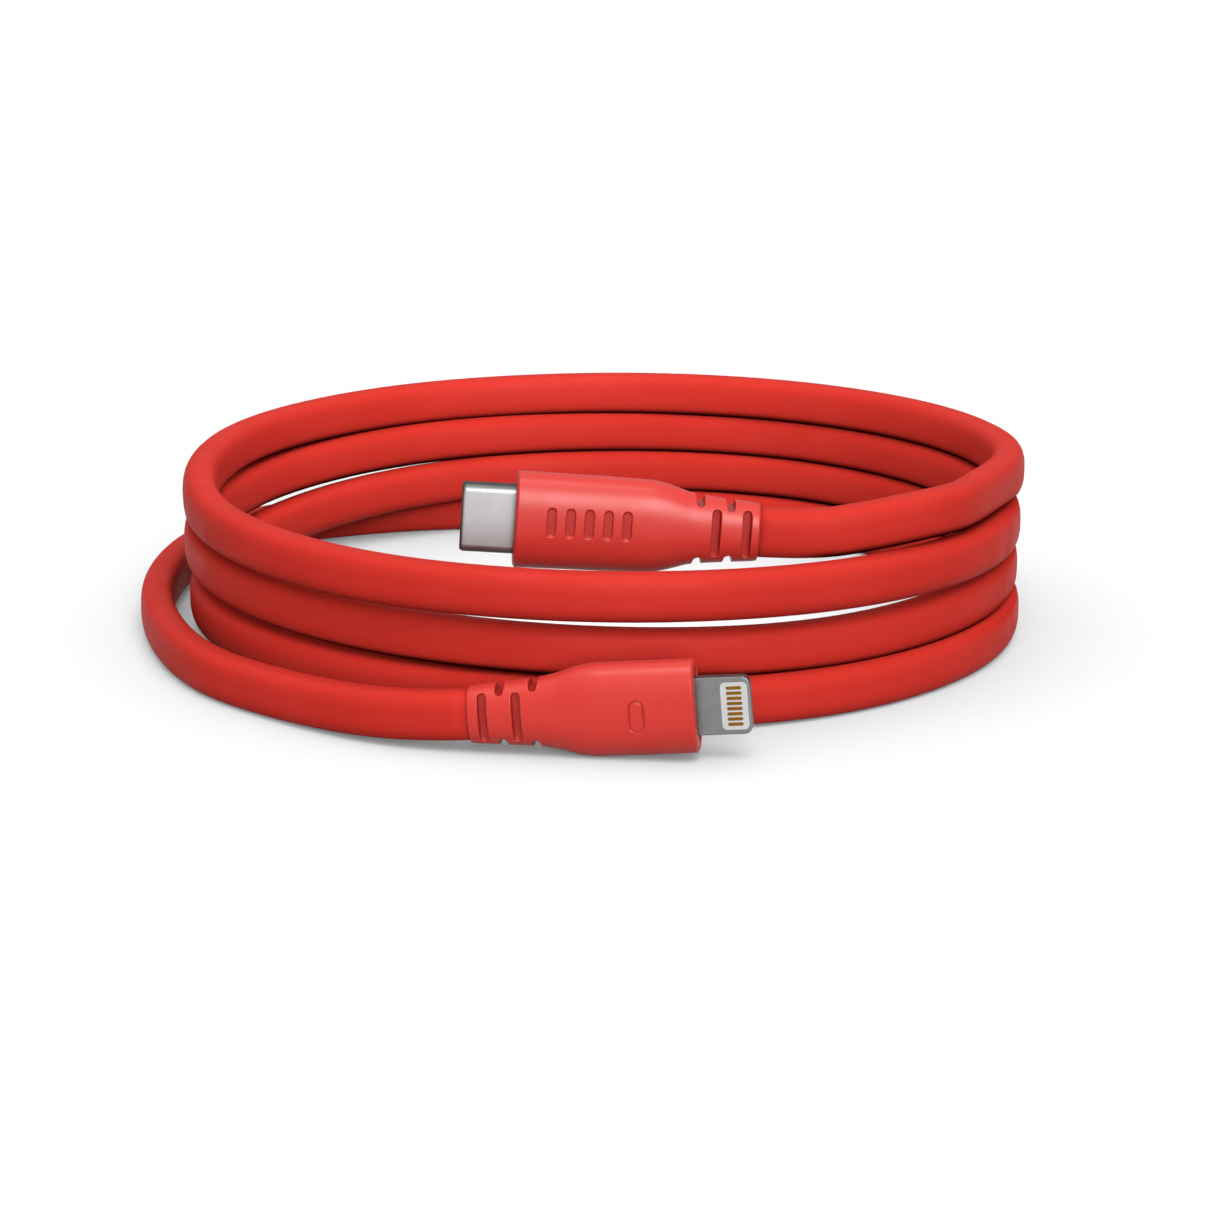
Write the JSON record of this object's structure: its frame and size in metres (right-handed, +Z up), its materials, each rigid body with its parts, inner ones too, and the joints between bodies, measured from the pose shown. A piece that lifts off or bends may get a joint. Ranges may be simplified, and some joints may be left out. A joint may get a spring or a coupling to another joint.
{
  "type": "charging and data cord",
  "caption": "Flat-oval red cord in a loose upright coil, with a reversible 24-contact plug at one end and an eight-contact tab plug at the other, for charging and data.",
  "frame": {"origin": "on the table that the cord lies on, at the middle of the whole object's box", "axes": "+X to the right along the front of the coil, +Y from the front to the back, +Z up"},
  "size_m": [0.1145, 0.1215, 0.0288],
  "materials": {
    "red_jacket": "satin, soft-touch moulded elastomer",
    "inner_plastic": "natural, moulded",
    "tinned_can": "tinned sheet",
    "copper_braid": "woven tinned copper",
    "plug_steel": "polished drawn steel",
    "tab_steel": "satin, bead-blasted",
    "black_insulator": "moulded",
    "white_insulator": "moulded",
    "gold_contact": "gold plated",
    "spring_steel": "stamped",
    "board_green": "solder mask",
    "chip_black": "moulded package",
    "capacitor_tan": "fired ceramic",
    "wire_red": "extruded",
    "wire_black": "extruded",
    "wire_green": "extruded",
    "wire_white": "extruded"
  },
  "bodies": {
    "root": {"cord_coil": "red_jacket", "cord_tab_loop": "red_jacket", "cord_type_c_lead": "red_jacket", "tab_board": "board_green", "tab_braid": "copper_braid", "tab_capacitors": "capacitor_tan", "tab_cord_end": "red_jacket", "tab_data_minus_wire": "wire_white", "tab_data_plus_wire": "wire_green", "tab_far_contacts": "gold_contact", "tab_ferrule": "tinned_can", "tab_frame": "tab_steel", "tab_grip": "red_jacket", "tab_ground_wire": "wire_black", "tab_id_chip": "chip_black", "tab_inner_mould": "inner_plastic", "tab_insulator": "white_insulator", "tab_near_contacts": "gold_contact", "tab_power_chip": "chip_black", "tab_power_wire": "wire_red", "tab_shield_far": "tinned_can", "tab_shield_near": "tinned_can", "type_c_board": "board_green", "type_c_braid": "copper_braid", "type_c_contact_housing": "black_insulator", "type_c_cord_end": "red_jacket", "type_c_data_minus_wire": "wire_white", "type_c_data_plus_wire": "wire_green", "type_c_far_contacts": "gold_contact", "type_c_far_ground_spring": "spring_steel", "type_c_ferrule": "tinned_can", "type_c_grip": "red_jacket", "type_c_ground_wire": "wire_black", "type_c_id_chip": "chip_black", "type_c_inner_mould": "inner_plastic", "type_c_latch_plate": "spring_steel", "type_c_near_contacts": "gold_contact", "type_c_near_ground_spring": "spring_steel", "type_c_passives": "capacitor_tan", "type_c_power_wire": "wire_red", "type_c_shell": "plug_steel", "type_c_shield_far": "tinned_can", "type_c_shield_near": "tinned_can"}
  },
  "joints": []
}
